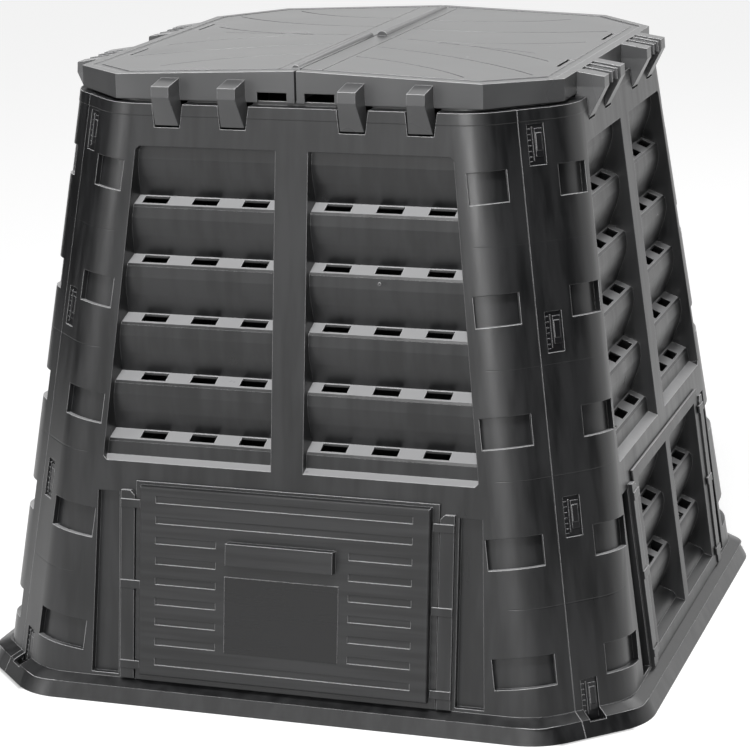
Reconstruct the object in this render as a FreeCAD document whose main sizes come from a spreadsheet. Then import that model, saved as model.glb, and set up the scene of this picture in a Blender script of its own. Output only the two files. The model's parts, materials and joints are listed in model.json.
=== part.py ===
"""Compost bin with lid: four snap-together walls, a hatch, three vent panels and two half lids.

Frame: millimetres, +Z up, origin on the ground under the middle of the bin. The front, with
the hatch door, faces -Y. All four walls come from one mould, a quarter turn apart, and the two
side walls are also bored for the hinge pins. The two half lids are one moulding, half a turn
apart.
"""
import FreeCAD, Part
import math
import os
import Sketcher

from FreeCAD import Placement, Rotation, Vector

os.makedirs("parts", exist_ok=True)
doc = FreeCAD.newDocument("CompostBin")

# Driving sizes. Each cell has an alias, and every piece reads its sizes from here.
# Sizes of the hatch, the panels and the louvres are measured along the leaning wall.
SIZES = [
    ("RimHeight", 779.0, "top of the wall rim above the ground"),
    ("GroundHalf", 443.9, "half width between opposite wall planes, at the ground"),
    ("RimHalf", 342.3, "the same at the rim"),
    ("CornerLeg", 100.0, "how much the corner takes off each wall, in plan"),
    ("CornerRadius", 85.0, "rounding of the two bends of a corner"),
    ("WallThick", 3.5, "wall of the mouldings"),
    ("SeamShift", 15.0, "seam beside the middle of a corner"),
    ("SeamGap", 0.4, "gap between two walls at a seam"),
    ("SeamRibDepth", 10.0, "depth of the rib behind each seam"),
    ("SeamRibFoot", 30.0, "lower end of a seam rib above the ground"),
    ("SeamRibDrop", 40.0, "upper end of a seam rib below the rim"),
    ("SkirtFlare", 22.0, "how far the base skirt stands out at the ground"),
    ("SkirtHeight", 20.0, "height of the lip of the base skirt"),
    ("SkirtLedge", 15.0, "how far the lip of the base skirt stands out"),
    ("SkirtFade", 7.4, "rise of the base skirt from its lip to the wall"),
    ("BandOut", 0.6, "how far the rim band stands out from the wall"),
    ("BandTall", 15.0, "height of the rim band"),
    ("FlangeWidth", 21.0, "width of the rim flange"),
    ("FlangeThick", 5.0, "thickness of the rim flange"),
    ("UpstandHeight", 5.0, "height of the ring inside the lid skirt"),
    ("OpeningRise", 20.3, "lower opening above the lip of the base skirt"),
    ("OpeningHalf", 190.0, "half width of the lower opening"),
    ("OpeningTall", 244.0, "height of the lower opening"),
    ("SillTall", 34.3, "wall between the lower opening and the louvres"),
    ("BankDrop", 54.5, "top of the louvre banks below the rim"),
    ("MullionHalf", 22.0, "half width of the bar between the two banks"),
    ("BankTopEdge", 0.4, "top of a bank to the start of the corner bend"),
    ("BankFootEdge", 11.8, "foot of a bank to the start of the corner bend"),
    ("BankCorner", 5.0, "bevel of the outer corners of a bank"),
    ("SillRise", 6.0, "how much the sill of a bank rises inwards"),
    ("LouvrePitch", 77.3, "from one louvre lip to the next"),
    ("LipDepth", 13.0, "louvre lip behind the wall plane"),
    ("LipBevel", 2.3, "bevel of a louvre lip, along each of its two faces"),
    ("LouvreDepth", 34.0, "deepest point of a louvre behind the wall plane"),
    ("ShelfRise", 11.7, "how much a louvre shelf rises inwards"),
    ("LouvreCrease", 10.0, "crease below the upright strip of a louvre, in degrees"),
    ("LouvreRadius", 82.0, "bend of a louvre face"),
    ("LouvreAngle", 27.3, "how far the louvre face turns inwards, in degrees"),
    ("RevealThick", 3.5, "wall around a bank"),
    ("RevealBehind", 5.0, "wall around a bank behind its deepest louvre"),
    ("VentWidth", 35.0, "width of a vent hole"),
    ("VentPitch", 69.0, "from one vent hole to the next"),
    ("VentFirst", 34.0, "middle of the first vent from the side of its bank"),
    ("VentLip", 5.0, "material in front of a vent hole"),
    ("VentBack", 1.5, "material behind a vent hole"),
    ("PocketFoot", 66.0, "lowest corner pocket above the ground"),
    ("PocketDrop", 70.0, "top of the highest corner pocket below the rim"),
    ("PocketTall", 40.0, "height of a corner pocket"),
    ("PocketDepth", 8.0, "depth of a corner pocket"),
    ("PocketNear", 31.0, "reach of a pocket from the bend towards the seam"),
    ("PocketFarTop", 20.0, "reach of the top pocket towards the louvres"),
    ("PocketFarFoot", 48.0, "reach of the lowest pocket towards the louvres"),
    ("ClipWidth", 24.0, "width of a clip window"),
    ("ClipTall", 52.0, "height of a clip window"),
    ("ClipShift", 9.0, "clip window beside the middle of a corner"),
    ("ClipFoot", 40.0, "middle of the lowest clip window above the ground"),
    ("ClipDrop", 44.0, "middle of the highest clip window below the rim"),
    ("ClipGap", 0.4, "gap round a corner clip"),
    ("ClipPlate", 3.0, "thickness of a corner clip"),
    ("ClipOver", 4.0, "how far a clip plate reaches past its window"),
    ("ClipSunk", 2.6, "face of a clip behind the wall face"),
    ("DoorLap", 17.0, "how far the hatch overlaps the opening at each side"),
    ("DoorLapFoot", 12.0, "how far the hatch overlaps the opening at its foot"),
    ("DoorLapHead", 10.0, "how far the hatch overlaps the opening at its head"),
    ("DoorLift", 0.6, "running gap of the hatch on the wall"),
    ("DoorFlange", 3.0, "thickness of the hatch flange"),
    ("DoorRaise", 11.0, "how far the hatch face stands out from its flange"),
    ("DoorEdge", 9.0, "width of the flange beside the hatch face"),
    ("DoorWall", 3.2, "wall of the hatch face"),
    ("DoorRound", 3.0, "rounding of the edges of the hatch face"),
    ("GrooveTall", 9.0, "height of a hatch groove"),
    ("GroovePitch", 27.0, "from one hatch groove to the next"),
    ("GrooveDepth", 1.6, "depth of a hatch groove"),
    ("GrooveRise", 12.5, "lowest hatch groove above the opening's foot"),
    ("GrooveSide", 15.0, "end of a groove inside the opening's side"),
    ("GrooveInner", 91.0, "inner end of a short groove"),
    ("PullHalf", 73.0, "half width of the pull ledge"),
    ("PullDrop", 59.0, "top of the pull ledge below the head of the opening"),
    ("PullTall", 29.0, "height of the pull ledge"),
    ("PullOut", 13.0, "how far the pull ledge stands out"),
    ("PullWall", 3.2, "wall of the pull ledge"),
    ("PlateHalf", 78.0, "half width of the blank plate"),
    ("PlateTall", 101.0, "height of the blank plate"),
    ("PlateGap", 17.0, "gap between the pull ledge and the blank plate"),
    ("PlateOut", 1.2, "how far the blank plate stands out"),
    ("PostGap", 1.5, "gap beside the hatch flange"),
    ("PostWidth", 19.0, "width of a guide post"),
    ("PostOut", 6.0, "how far a guide post stands out"),
    ("PostFoot", 11.0, "foot of a guide post below the opening's foot"),
    ("PostHead", 3.0, "top of a guide post below the opening's head"),
    ("PostStep", 6.0, "bevel at the top of a guide post"),
    ("TabOver", 7.0, "how far a guide tab reaches over the flange"),
    ("TabTall", 11.0, "height of a guide tab"),
    ("TabThick", 3.0, "thickness of a guide tab"),
    ("TabGap", 0.8, "running gap between the hatch flange and a tab"),
    ("TabFoot", 8.0, "middle of the lowest tab above the opening's foot"),
    ("TabHead", 20.0, "middle of the highest tab below the opening's head"),
    ("RecessHeadWidth", 30.5, "width of the recess beside a post, at its head"),
    ("RecessFootWidth", 38.5, "width of the recess beside a post, at its foot"),
    ("RecessDepth", 10.0, "depth of the recess"),
    ("RecessBeside", 4.5, "recess beside the guide post"),
    ("RecessFoot", 8.0, "foot of the recess below the opening's foot"),
    ("RecessHead", 6.5, "head of the recess below the opening's head"),
    ("PanelMullion", 11.0, "half width of the bar of a vent panel"),
    ("PanelGap", 2.5, "gap between a vent panel and the opening"),
    ("PanelPitch", 70.0, "least height of a louvre of a vent panel"),
    ("PanelLipRound", 9.0, "rounding of a louvre lip in a vent panel"),
    ("PanelVentPitch", 55.0, "from one vent hole of a panel to the next"),
    ("PanelVentFirst", 32.0, "middle of the first vent of a panel from its bar"),
    ("PanelSill", 12.0, "lowest louvre of a vent panel above its foot"),
    ("LidInset", 13.3, "lid inside the wall plane at the rim"),
    ("LidLegLess", 17.0, "how much less a lid corner takes off than the wall"),
    ("LidGap", 3.0, "gap between the two lids"),
    ("LidThick", 3.0, "wall of a lid"),
    ("LidClear", 3.5, "lid skirt above the rim"),
    ("LidRise", 45.0, "top of a lid at the seam, above the rim"),
    ("LidFall", 13.0, "fall of a lid top from the seam to its hinge side"),
    ("LidGrooveWide", 3.2, "width of a lid groove"),
    ("LidGrooveDeep", 1.4, "depth of a lid groove"),
    ("LidBorder", 12.0, "from the lid edge to its border channel"),
    ("LidBorderWide", 12.0, "width of the border channel"),
    ("LidBorderDeep", 1.0, "depth of the border channel"),
    ("StripWidth", 28.0, "strip of lid beside the ridge handle"),
    ("StripGroove", 2.0, "width of the groove beside that strip"),
    ("SlotInset", 29.0, "slot beside a hinge, from the lid edge"),
    ("SlotWide", 5.0, "width of the slot beside a hinge"),
    ("HandleRadius", 7.8, "radius of the ridge handle at the middle"),
    ("HandleEndRadius", 5.0, "radius of the ridge handle at its end"),
    ("HandleSunk", 1.5, "middle of the ridge handle below the lid top"),
    ("HandleInset", 29.0, "end of the ridge handle from the lid edge"),
    ("FingerStart", 12.0, "finger notch from the seam"),
    ("FingerWidth", 40.0, "width of a finger notch"),
    ("FingerTall", 13.0, "height of a finger notch"),
    ("HookInner", 80.0, "inner hook from the middle of a side"),
    ("HookOuter", 170.0, "outer hook from the middle of a side"),
    ("HookHalf", 12.0, "half width of a hook at its top"),
    ("HookTipHalf", 16.0, "half width of a hook at its tip"),
    ("HookReach", 37.0, "how far a hook stands out from the lid"),
    ("HookDrop", 27.0, "hook tip below the rim"),
    ("HookWall", 3.0, "wall of a hook"),
    ("HookFall", 6.0, "fall of the top of a hook from the lid to its nose"),
    ("HookNose", 14.0, "height of the nose of a hook"),
    ("HookRoot", 14.0, "lower end of a hook at the lid, above its tip"),
    ("HookLift", 0.4, "hook tip in front of the wall plane"),
    ("NotchGap", 1.2, "gap beside a hook tip in its wall notch"),
    ("NotchUnder", 2.7, "gap below a hook tip in its wall notch"),
    ("NotchOpen", 5.0, "how much a wall notch widens to the rim, on each side"),
    ("NotchBehind", 6.0, "how far a wall notch is cut behind the rim flange"),
    ("PinRadius", 2.5, "radius of a hinge pin"),
    ("PinGap", 0.15, "gap round a hinge pin in the wall"),
    ("PinRun", 0.35, "running gap round a hinge pin in a lid hook"),
    ("PinDrop", 5.0, "hinge axis below the rim"),
    ("PinInset", 2.3, "hinge axis behind the wall plane at the rim"),
    ("PinEnd", 8.0, "hinge pin past the outer notch"),
    ("BeamDrop", 7.0, "rim beam below the hinge axis"),
    ("BeamDepth", 12.0, "depth of a rim beam behind the wall plane"),
    ("LeafInset", 4.0, "hinge leaf behind the nose of the hooks"),
    ("LeafTall", 12.0, "height of the outer edge of a hinge leaf"),
    ("RibStep", 28.0, "from one knuckle rib to the next"),
]

sheet = doc.addObject("Spreadsheet::Sheet", "Sizes")
for row, (alias, value, meaning) in enumerate(SIZES, start=1):
    sheet.set("A%d" % row, meaning)
    sheet.set("B%d" % row, str(value))
    sheet.setAlias("B%d" % row, alias)
doc.recompute()


def size(alias):
    """The plain number in a cell of the sheet."""
    return float(sheet.get(alias))


# Values worked out once from the driving sizes.
RIM = size("RimHeight")
LEAN = (size("GroundHalf") - size("RimHalf")) / RIM
LEAN_ANGLE = math.degrees(math.atan(LEAN))
SLOPE = 1.0 / math.cos(math.radians(LEAN_ANGLE))
CORNER_LEAN_ANGLE = math.degrees(math.atan(LEAN * math.sqrt(2.0)))
BEND_TANGENT = size("CornerRadius") * math.tan(math.pi / 8)
THICK = size("WallThick")
FAR = 2000.0
OVERSHOOT = 20.0
FLAT_TO_WALL = Placement(Vector(0, -size("GroundHalf"), 0), Rotation(Vector(1, 0, 0), -LEAN_ANGLE))
SKIRT_TOP = size("SkirtHeight") + size("SkirtFade")
OPENING_FOOT = size("SkirtHeight") + size("OpeningRise")
OPENING_HEAD = OPENING_FOOT + size("OpeningTall")
DOOR_HALF = size("OpeningHalf") + size("DoorLap")
POST_INNER = DOOR_HALF + size("PostGap")
POST_OUTER = POST_INNER + size("PostWidth")
BANK_FOOT = OPENING_HEAD + size("SillTall")
BANK_HEAD = RIM * SLOPE - size("BankDrop")
AXIS_OUT = size("RimHalf") - size("PinInset")
AXIS_HEIGHT = RIM - size("PinDrop")
LID_HALF = size("RimHalf") - size("LidInset")
LID_LOW = RIM + size("LidClear")
HOOK_TIP = RIM - size("HookDrop")
HOOK_PLACES = [side * size(name) for side in (-1, 1) for name in ("HookInner", "HookOuter")]
PIN_START = size("HookInner") - size("HookTipHalf") - size("NotchGap") - size("NotchOpen") - size("PinEnd")
PIN_END = size("HookOuter") + size("HookInner") - PIN_START


def wall_plane(height):
    """Half width between opposite wall planes at a height."""
    return size("GroundHalf") - LEAN * height


def box(x0, y0, z0, x1, y1, z1):
    return Part.makeBox(x1 - x0, y1 - y0, z1 - z0, Vector(x0, y0, z0))


def prism(points, direction):
    """A solid swept from a closed polygon of points."""
    wire = Part.makePolygon([Vector(*p) for p in points] + [Vector(*points[0])])
    return Part.Face(wire).extrude(Vector(*direction))


def slab(points, near, far):
    """A polygon of (x, z) points, seen from the front, between two depths."""
    return prism([(x, near, z) for x, z in points], (0, far - near, 0))


def rectangle(x0, z0, x1, z1):
    return [(x0, z0), (x1, z0), (x1, z1), (x0, z1)]


def mirrored(points):
    return [(-x, z) for x, z in points]


def both_sides(points):
    return points, mirrored(points)


def turned(shape, angle):
    """A copy turned about the upright axis."""
    copy = shape.copy()
    copy.rotate(Vector(0, 0, 0), Vector(0, 0, 1), angle)
    return copy


def on_wall(shape):
    """From the flat working frame to the leaning front wall.

    In the flat frame X runs right, Z up the wall and +Y inwards from the wall plane.
    """
    copy = shape.copy()
    copy.transformShape(FLAT_TO_WALL.toMatrix())
    return copy


def corner_leg(offset):
    """How much a corner takes off each wall, once the faces are moved outwards."""
    return size("CornerLeg") + (2 - math.sqrt(2)) * offset


def sharp_corners(half, leg, height):
    """Corners of a square with bevelled corners, in plan at one height."""
    corners = []
    for quarter in range(4):
        turn = Rotation(Vector(0, 0, 1), 90 * quarter)
        corners.append(turn.multVec(Vector(half, leg - half, height)))
        corners.append(turn.multVec(Vector(half, half - leg, height)))
    return corners


def frustum(foot_offset, head_offset, foot, head, radius):
    """The bin as a solid block between two heights, its faces moved outwards by two offsets.

    Its eight flat faces meet in upright edges, which are then rounded.
    """
    rings = []
    for height, offset in ((foot, foot_offset), (head, head_offset)):
        rings.append(sharp_corners(wall_plane(height) + offset, corner_leg(offset), height))
    lower, upper = rings
    faces = [Part.Face(Part.makePolygon(lower[::-1] + lower[-1:])),
             Part.Face(Part.makePolygon(upper + upper[:1]))]
    for i in range(len(lower)):
        quad = [lower[i - 1], lower[i], upper[i], upper[i - 1], lower[i - 1]]
        faces.append(Part.Face(Part.makePolygon(quad)))
    block = Part.Solid(Part.makeShell(faces))
    upright = [edge for edge in block.Edges if abs(edge.Vertexes[0].Z - edge.Vertexes[-1].Z) > 1]
    return block.makeFillet(radius, upright)


def tapered_block(offset, foot, head):
    """The bin as a solid block between two heights, its faces moved outwards by an offset."""
    return frustum(offset, offset, foot, head, size("CornerRadius") + offset)


def layer(near, far, foot, head):
    """The layer of space between two depths behind the wall faces."""
    return tapered_block(-near, foot, head).cut(tapered_block(-far, foot - 1, head + 1))


def shell_ring():
    """The bare skin of the bin with its base skirt, rim band, flange and upstand."""
    flare, ledge, lip = size("SkirtFlare"), size("SkirtLedge"), size("SkirtHeight")
    lip_radius = size("CornerRadius") + ledge
    hollow_radius = lip_radius - THICK
    under = RIM - size("FlangeThick")
    skin_foot = lip + THICK
    width = size("FlangeWidth")
    solids = [
        frustum(flare, ledge, 0, lip, lip_radius),
        frustum(ledge, 0, lip, SKIRT_TOP, lip_radius),
        tapered_block(size("BandOut"), RIM - size("BandTall"), RIM),
        tapered_block(THICK - width, under, RIM + size("UpstandHeight")),
    ]
    hollows = [
        frustum(flare - THICK, ledge - THICK, -1, lip - THICK, hollow_radius),
        frustum(ledge - THICK, -1.5 * THICK, lip - THICK, skin_foot + THICK, hollow_radius),
        tapered_block(-THICK, skin_foot, under),
        tapered_block(-width, under - 1, RIM + 2 * size("UpstandHeight")),
    ]
    return tapered_block(0, skin_foot, under).fuse(solids).cut(hollows)


def wall_wedge(inset):
    """The sector of the front wall, between the two seams, pulled in by an inset."""
    apex = Vector(-size("SeamShift") * math.sqrt(2), -inset * math.sqrt(2), -10)
    left = apex + Vector(-FAR, -FAR, 0)
    right = apex + Vector(FAR, -FAR, 0)
    return prism([apex, left, right], (0, 0, RIM + 100))


def seam_ribs():
    """Ribs behind both ends of the front wall, which the corner clips grip."""
    depth = size("SeamRibDepth")
    foot, head = size("SeamRibFoot"), RIM - size("SeamRibDrop")
    gap = size("SeamGap") / 2
    return layer(1, depth, foot, head).common(wall_wedge(gap)).cut(wall_wedge(gap + THICK))


def bank(inner, outer_foot, outer_head, foot, head, grow=0.0):
    """Outline of the right-hand louvre bank, seen from the front, grown by a margin."""
    return [(inner - grow, foot - grow), (outer_foot + grow, foot - grow),
            (outer_head + grow, head + grow), (inner - grow, head + grow)]


def main_bank(grow=0.0):
    """Outline of a large bank, from the bar in the middle to the corner bend."""
    foot_edge = wall_plane(BANK_FOOT / SLOPE) - size("CornerLeg") - BEND_TANGENT
    head_edge = wall_plane(BANK_HEAD / SLOPE) - size("CornerLeg") - BEND_TANGENT
    return bank(size("MullionHalf"), foot_edge - size("BankFootEdge"),
                head_edge - size("BankTopEdge"), BANK_FOOT, BANK_HEAD, grow)


def with_cut_corners(points):
    """A bank outline whose two outer corners are bevelled."""
    inner_foot, (foot_x, foot_z), (head_x, head_z), inner_head = points
    bevel = size("BankCorner")
    side = math.copysign(bevel, foot_x)
    return [inner_foot, (foot_x - side, foot_z), (foot_x, foot_z + bevel),
            (head_x, head_z - bevel), (head_x - side, head_z), inner_head]


def panel_bank(grow=0.0):
    """Outline of a bank of a vent panel."""
    inset = size("PanelGap") + size("RevealThick")
    half = size("OpeningHalf") - inset
    return bank(size("PanelMullion"), half, half, OPENING_FOOT + inset, OPENING_HEAD - inset, grow)


def main_lips():
    pitch = size("LouvrePitch")
    count = int((BANK_HEAD - BANK_FOOT - size("ShelfRise")) // pitch)
    return [BANK_HEAD - (k + 1) * pitch for k in range(count)]


def panel_lips():
    points = panel_bank()
    foot, head = points[0][1], points[-1][1]
    tall = head - foot - size("PanelSill")
    count = int(tall // size("PanelPitch"))
    pitch = tall / count
    return [head - (k + 1) * pitch for k in range(count)]


def louvre_profile(lips, head):
    """Corners of the louvre faces from the head of a bank down, as depth and height.

    Each louvre is an upright strip, a bend that ends at the louvre angle, a straight slope to
    the back of the next shelf, and that shelf, which falls outwards to the next lip.
    """
    lip, deep, rise = size("LipDepth"), size("LouvreDepth"), size("ShelfRise")
    crease, angle = math.radians(size("LouvreCrease")), math.radians(size("LouvreAngle"))
    radius = size("LouvreRadius")

    def along_bend(turn):
        return (radius * (math.cos(crease) - math.cos(turn)), radius * (math.sin(turn) - math.sin(crease)))

    middle_in, middle_down = along_bend((crease + angle) / 2)
    bend_in, bend_down = along_bend(angle)
    slope_down = (deep - lip - bend_in) / math.tan(angle)
    strip = head - lips[0] - rise - bend_down - slope_down
    rows = []
    top = head
    for lip_height in lips:
        low = top - strip
        rows.append([(lip, low), (lip + middle_in, low - middle_down), (lip + bend_in, low - bend_down),
                     (deep, lip_height + rise), (lip, lip_height)])
        top = lip_height
    return rows


def louvre_outline(lips, head, foot, bevel=0.0, rounding=0.0):
    """Closed outline of everything behind the louvre faces, with bevelled or rounded lips.

    With neither, it is the plain outline behind the sheet.
    """
    side = -DOOR_HALF * 1.5
    shaped = bevel or rounding
    edges = []

    def line(start, end):
        edges.append(Part.LineSegment(start, end).toShape())

    lip = size("LipDepth")
    first = start = Vector(side, lip, head + THICK + 1)
    for row in louvre_profile(lips, head):
        crease, middle, bend, back, edge = [Vector(side, depth, height) for depth, height in row]
        line(start, crease)
        if shaped:
            edges.append(Part.Arc(crease, middle, bend).toShape())
        else:
            line(crease, bend)
        line(bend, back)
        shelf = (back - edge).normalize()
        reach = bevel + rounding / math.tan(shelf.getAngle(Vector(0, 0, -1)) / 2)
        start = edge - Vector(0, 0, reach)
        line(back, edge + shelf * reach)
        if rounding:
            centre = start + Vector(0, rounding, 0)
            nose = centre + (edge - centre).normalize() * rounding
            edges.append(Part.Arc(edge + shelf * reach, nose, start).toShape())
        elif bevel:
            line(edge + shelf * reach, start)
    low = foot - THICK - 1
    back_depth = size("LouvreDepth") + 2 * THICK
    corners = [start, Vector(side, lip, foot + size("SillRise")), Vector(side, 0, foot),
               Vector(side, 0, low), Vector(side, back_depth, low), Vector(side, back_depth, first.z), first]
    for near_end, far_end in zip(corners, corners[1:]):
        line(near_end, far_end)
    return Part.Face(Part.Wire(edges))


def louvres(front, lips, points, vented, centres):
    """Thin louvred sheet behind a front outline, with vent holes in the first of its shelves.

    The sheet is the solid behind the louvres less a plain one that is moved in and down.
    """
    across = Vector(DOOR_HALF * 3, 0, 0)
    behind = louvre_outline(lips, points[-1][1], points[0][1]).extrude(across)
    behind.translate(Vector(0, THICK, -THICK / 2))
    skin = front.extrude(across).cut(behind)
    half = size("VentWidth") / 2
    near = size("LipDepth") + size("VentLip")
    far = size("LouvreDepth") - size("VentBack")
    holes = []
    for lip_height in lips[:vented]:
        for centre in centres:
            holes.append(box(centre - half, near, lip_height - 2 * THICK,
                             centre + half, far, lip_height + size("ShelfRise") + 1))
    return skin.cut(holes)


def vent_centres(bar, first, pitch):
    """Middles of the three vents of each bank, on both sides of the bar."""
    centres = [bar + first + k * pitch for k in range(3)]
    return centres + [-x for x in centres]


def recess():
    """Outline of the right-hand recess beside a guide post."""
    foot, head = OPENING_FOOT - size("RecessFoot"), OPENING_HEAD - size("RecessHead")
    inner = POST_OUTER + size("RecessBeside")
    return [(inner, foot), (inner + size("RecessFootWidth"), foot),
            (inner + size("RecessHeadWidth"), head), (inner, head)]


def grown(points, grow):
    """A four-cornered outline pushed out by a margin on every side."""
    moved = []
    for (x, z), (out_x, out_z) in zip(points, ((-1, -1), (1, -1), (1, 1), (-1, 1))):
        moved.append((x + grow * out_x, z + grow * out_z))
    return moved


def guides():
    """Posts beside the lower opening, with tabs that reach over the flange."""
    foot, head = OPENING_FOOT - size("PostFoot"), OPENING_HEAD - size("PostHead")
    step = size("PostStep")
    flange_out = size("DoorLift") + size("DoorFlange")
    near = flange_out + size("TabGap")
    far = near + size("TabThick")
    tall = size("TabTall")
    tab_in = DOOR_HALF - size("TabOver")
    low = OPENING_FOOT + size("TabFoot") - tall / 2
    high = OPENING_HEAD - size("TabHead") - tall / 2
    pieces = []
    post = [(POST_INNER, foot), (POST_OUTER, foot), (POST_OUTER, head), (POST_INNER + step, head),
            (POST_INNER, head - step)]
    for outline_points in both_sides(post):
        pieces.append(slab(outline_points, 1, -size("PostOut")))
    for tab_foot in (low, (low + high) / 2, high):
        for outline_points in both_sides(rectangle(tab_in, tab_foot, POST_OUTER, tab_foot + tall)):
            pieces.append(slab(outline_points, -near, -far))
        for outline_points in both_sides(rectangle(POST_INNER, tab_foot, POST_OUTER, tab_foot + tall)):
            pieces.append(slab(outline_points, 0, -far))
    return pieces


def pocket_boxes(grow):
    """Boxes for the five corner pockets at each end of the front wall, square to the bend."""
    tall, near = size("PocketTall"), size("PocketNear") + grow
    pitch = (RIM - size("PocketDrop") - tall - size("PocketFoot")) / 4
    reach = size("CornerRadius")
    boxes = []
    for k in range(5):
        foot = size("PocketFoot") + k * pitch
        half_width = wall_plane(foot)
        far = size("PocketFarFoot") + (size("PocketFarTop") - size("PocketFarFoot")) * k / 4 + grow
        for side in (1, -1):
            low, high = sorted((-side * far, side * near))
            piece = box(low, -reach, -grow, high, reach, tall + grow)
            spin = Rotation(Vector(0, 0, 1), side * 22.5)
            lean = Rotation(Vector(0, 0, 1), Vector(-side * LEAN, LEAN, 1))
            place = Vector(side * (half_width - size("CornerLeg")), -half_width, foot)
            piece.transformShape(Placement(place, lean.multiply(spin)).toMatrix())
            boxes.append(piece)
    return Part.makeCompound(boxes)


def notch(centre):
    """Tapered notch that a lid hook stands in, in the front wall."""
    low = HOOK_TIP - size("NotchUnder")
    half_low = size("HookTipHalf") + size("NotchGap")
    half_high = half_low + size("NotchOpen")
    front = size("RimHalf")
    high = RIM + 2 * size("UpstandHeight")
    points = [(centre - half_low, low), (centre + half_low, low),
              (centre + half_high, high), (centre - half_high, high)]
    return slab(points, -front - OVERSHOOT, -front + size("FlangeWidth") + size("NotchBehind"))


def hinge_beams():
    """Thick stretches of the rim that carry a hinge pin."""
    front = size("RimHalf")
    beams = []
    for side in (1, -1):
        start, end = sorted((side * (PIN_START - THICK), side * (PIN_END + THICK)))
        beams.append(box(start, -front, AXIS_HEIGHT - size("BeamDrop"),
                         end, size("BeamDepth") - front, RIM - 1))
    return beams


def pin_bores():
    """Bores for a hinge pin at each side of the middle of the front wall."""
    bores = []
    for side in (1, -1):
        start = min(side * PIN_START, side * PIN_END) - size("PinGap")
        bores.append(Part.makeCylinder(
            size("PinRadius") + size("PinGap"), PIN_END - PIN_START + 2 * size("PinGap"),
            Vector(start, -AXIS_OUT, AXIS_HEIGHT), Vector(1, 0, 0)))
    return bores


def clip_heights():
    """Middle heights of the four clip windows of a corner."""
    foot, head = size("ClipFoot"), RIM - size("ClipDrop")
    return [foot + (head - foot) * k / 3 for k in range(4)]


def corner_place(height):
    """Placement on the middle of the front left corner: X right, Y inwards, Z up the corner."""
    reach = math.sqrt(2) * (wall_plane(height) - size("CornerLeg") / 2)
    spin = Rotation(Vector(0, 0, 1), -45)
    lean = Rotation(Vector(1, 0, 0), -CORNER_LEAN_ANGLE)
    return Placement(spin.multVec(Vector(0, -reach, height)), spin.multiply(lean))


def clip_windows():
    half, middle, tall = size("ClipWidth") / 2, size("ClipShift"), size("ClipTall")
    outside = -2 * size("SkirtFlare")
    windows = []
    for height in clip_heights():
        window = box(middle - half, outside, -tall / 2, middle + half, 2 * THICK, tall / 2)
        window.transformShape(corner_place(height).toMatrix())
        windows.append(window)
    return windows


def make_wall():
    """The wall moulding, as the front wall."""
    wall = shell_ring().common(wall_wedge(size("SeamGap") / 2)).fuse(seam_ribs())

    reveal = size("RevealThick")
    depth = size("LouvreDepth") + size("RevealBehind")
    low, high = size("SeamRibFoot"), RIM - size("PocketDrop") / 2
    backing = layer(1, size("PocketDepth") + THICK, low, high).common(pocket_boxes(THICK))
    pockets = layer(-OVERSHOOT, size("PocketDepth"), low, high).common(pocket_boxes(0))
    added = list(backing.Solids) + hinge_beams()
    holes = list(pockets.Solids) + clip_windows()
    for points in both_sides(main_bank(reveal)):
        added.append(on_wall(slab(points, 1, depth)))
    for points in both_sides(main_bank()):
        holes.append(on_wall(slab(with_cut_corners(points), -OVERSHOOT, depth + OVERSHOOT)))
    for points in both_sides(grown(recess(), THICK)):
        added.append(on_wall(slab(points, 1, size("RecessDepth") + THICK)))
    for points in both_sides(recess()):
        holes.append(on_wall(slab(points, -OVERSHOOT, size("RecessDepth"))))
    half = size("OpeningHalf")
    opening = rectangle(-half, OPENING_FOOT, half, OPENING_HEAD)
    holes.append(on_wall(slab(opening, -OVERSHOOT, OVERSHOOT)))
    holes.extend(notch(centre) for centre in HOOK_PLACES)
    wall = wall.fuse(added).cut(holes)

    lips = main_lips()
    centres = vent_centres(size("MullionHalf"), size("VentFirst"), size("VentPitch"))
    front = louvre_outline(lips, BANK_HEAD, BANK_FOOT, bevel=size("LipBevel"))
    skin = louvres(front, lips, main_bank(), len(lips), centres)
    sheets = [on_wall(skin.common(slab(points, 0, depth))) for points in both_sides(main_bank(1))]
    return wall.fuse(sheets + [on_wall(piece) for piece in guides()]).removeSplitter()


def make_vent_panel():
    """Louvred panel that fills the lower opening where there is no hatch, in the flat frame."""
    lift = size("DoorLift")
    face = lift + size("DoorFlange")
    foot, head = OPENING_FOOT - size("DoorLapFoot"), OPENING_HEAD + size("DoorLapHead")
    panel = slab(rectangle(-DOOR_HALF, foot, DOOR_HALF, head), -lift, -face)
    depth = size("LouvreDepth") + size("RevealBehind") - face
    blocks = [slab(points, -face / 2, depth) for points in both_sides(panel_bank(size("RevealThick")))]
    holes = [slab(points, -OVERSHOOT, depth + OVERSHOOT) for points in both_sides(panel_bank())]
    panel = panel.fuse(blocks).cut(holes)
    lips = panel_lips()
    centres = vent_centres(size("PanelMullion"), size("PanelVentFirst"), size("PanelVentPitch"))
    points = panel_bank()
    front = louvre_outline(lips, points[-1][1], points[0][1], rounding=size("PanelLipRound"))
    skin = louvres(front, lips, points, len(lips) - 1, centres)
    skin.translate(Vector(0, -face, 0))
    sheets = [skin.common(slab(points, -face, depth)) for points in both_sides(panel_bank(1))]
    return panel.fuse(sheets).removeSplitter()


def lid_plan(inset, seam):
    """Plan corners of the right-hand lid, pulled in by an inset."""
    half = LID_HALF - inset
    leg = size("CornerLeg") - size("LidLegLess") - (2 - math.sqrt(2)) * inset
    return [(seam, -half), (half - leg, -half), (half, leg - half), (half, half - leg),
            (half - leg, half), (seam, half)]


def lid_top(x):
    """Height of the lid top at a distance from the seam."""
    return RIM + size("LidRise") - size("LidFall") * x / LID_HALF


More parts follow.
